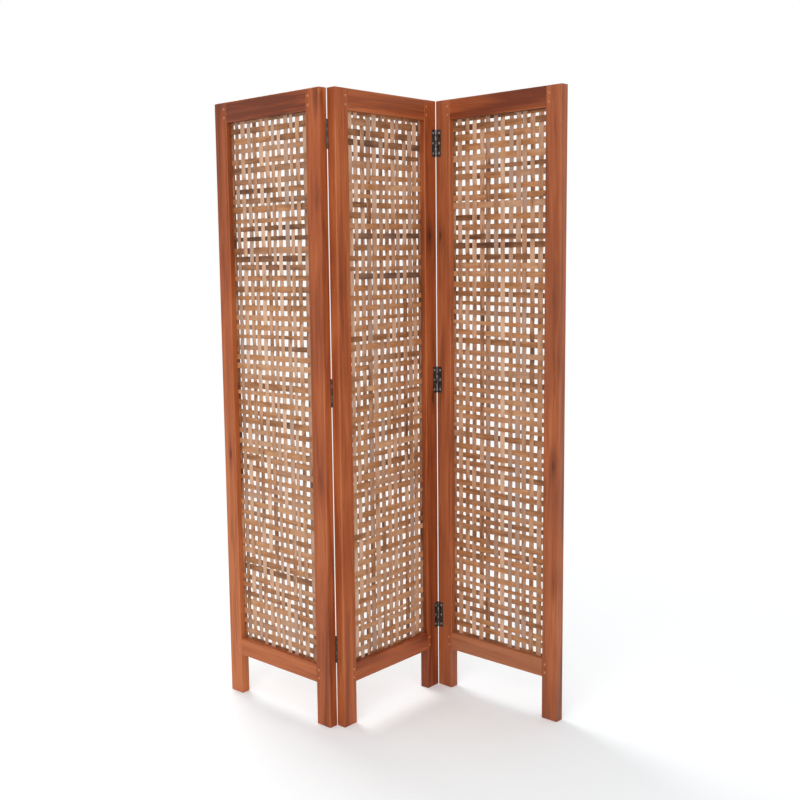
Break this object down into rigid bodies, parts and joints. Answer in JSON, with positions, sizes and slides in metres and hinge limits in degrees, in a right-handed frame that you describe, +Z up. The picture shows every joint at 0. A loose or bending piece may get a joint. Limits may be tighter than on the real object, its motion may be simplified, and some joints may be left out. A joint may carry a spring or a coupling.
{
  "type": "folding screen",
  "caption": "Free-standing folding screen: hinged hardwood leaves, each filled with an open lattice of flat cane strips woven in a twill.",
  "frame": {"origin": "on the floor under the middle of the middle leaf", "axes": "+Z up, +Y away from the viewer to the back, +X along the screen to the viewer's right"},
  "size_m": [0.9266, 0.3172, 1.7],
  "materials": {
    "frame_wood": "satin",
    "peg_wood": "satin",
    "cane_level": "satin",
    "cane_upright": "satin",
    "hinge_metal": "satin"
  },
  "bodies": {
    "left_leaf": {"left_leaf_left_stile": "frame_wood", "left_leaf_right_stile": "frame_wood", "left_leaf_top_rail": "frame_wood", "left_leaf_bottom_rail": "frame_wood", "left_leaf_left_bead": "frame_wood", "left_leaf_right_bead": "frame_wood", "left_leaf_top_bead": "frame_wood", "left_leaf_bottom_bead": "frame_wood", "left_leaf_wefts": "cane_level", "left_leaf_warps": "cane_upright", "left_leaf_pegs": "peg_wood", "lower_ridge_hinge_left_plate": "hinge_metal", "middle_ridge_hinge_left_plate": "hinge_metal", "upper_ridge_hinge_left_plate": "hinge_metal"},
    "middle_leaf": {"middle_leaf_left_stile": "frame_wood", "middle_leaf_right_stile": "frame_wood", "middle_leaf_top_rail": "frame_wood", "middle_leaf_bottom_rail": "frame_wood", "middle_leaf_left_bead": "frame_wood", "middle_leaf_right_bead": "frame_wood", "middle_leaf_top_bead": "frame_wood", "middle_leaf_bottom_bead": "frame_wood", "middle_leaf_wefts": "cane_level", "middle_leaf_warps": "cane_upright", "middle_leaf_pegs": "peg_wood", "lower_ridge_hinge_middle_plate": "hinge_metal", "lower_ridge_hinge_pin": "hinge_metal", "middle_ridge_hinge_middle_plate": "hinge_metal", "middle_ridge_hinge_pin": "hinge_metal", "upper_ridge_hinge_middle_plate": "hinge_metal", "upper_ridge_hinge_pin": "hinge_metal", "lower_valley_hinge_middle_plate": "hinge_metal", "lower_valley_hinge_pin": "hinge_metal", "middle_valley_hinge_middle_plate": "hinge_metal", "middle_valley_hinge_pin": "hinge_metal", "upper_valley_hinge_middle_plate": "hinge_metal", "upper_valley_hinge_pin": "hinge_metal"},
    "right_leaf": {"right_leaf_left_stile": "frame_wood", "right_leaf_right_stile": "frame_wood", "right_leaf_top_rail": "frame_wood", "right_leaf_bottom_rail": "frame_wood", "right_leaf_left_bead": "frame_wood", "right_leaf_right_bead": "frame_wood", "right_leaf_top_bead": "frame_wood", "right_leaf_bottom_bead": "frame_wood", "right_leaf_wefts": "cane_level", "right_leaf_warps": "cane_upright", "right_leaf_pegs": "peg_wood", "lower_valley_hinge_right_plate": "hinge_metal", "middle_valley_hinge_right_plate": "hinge_metal", "upper_valley_hinge_right_plate": "hinge_metal"}
  },
  "joints": [
    {"name": "left_leaf_fold", "type": "hinge", "parent": "middle_leaf", "child": "left_leaf", "pos_m": [-0.15473, -0.14008, 0.9], "axis": [0, 0, 1], "range_deg": [-88, 92]},
    {"name": "right_leaf_fold", "type": "hinge", "parent": "middle_leaf", "child": "right_leaf", "pos_m": [0.15473, 0.14008, 0.9], "axis": [0, 0, 1], "range_deg": [-88, 92]}
  ]
}
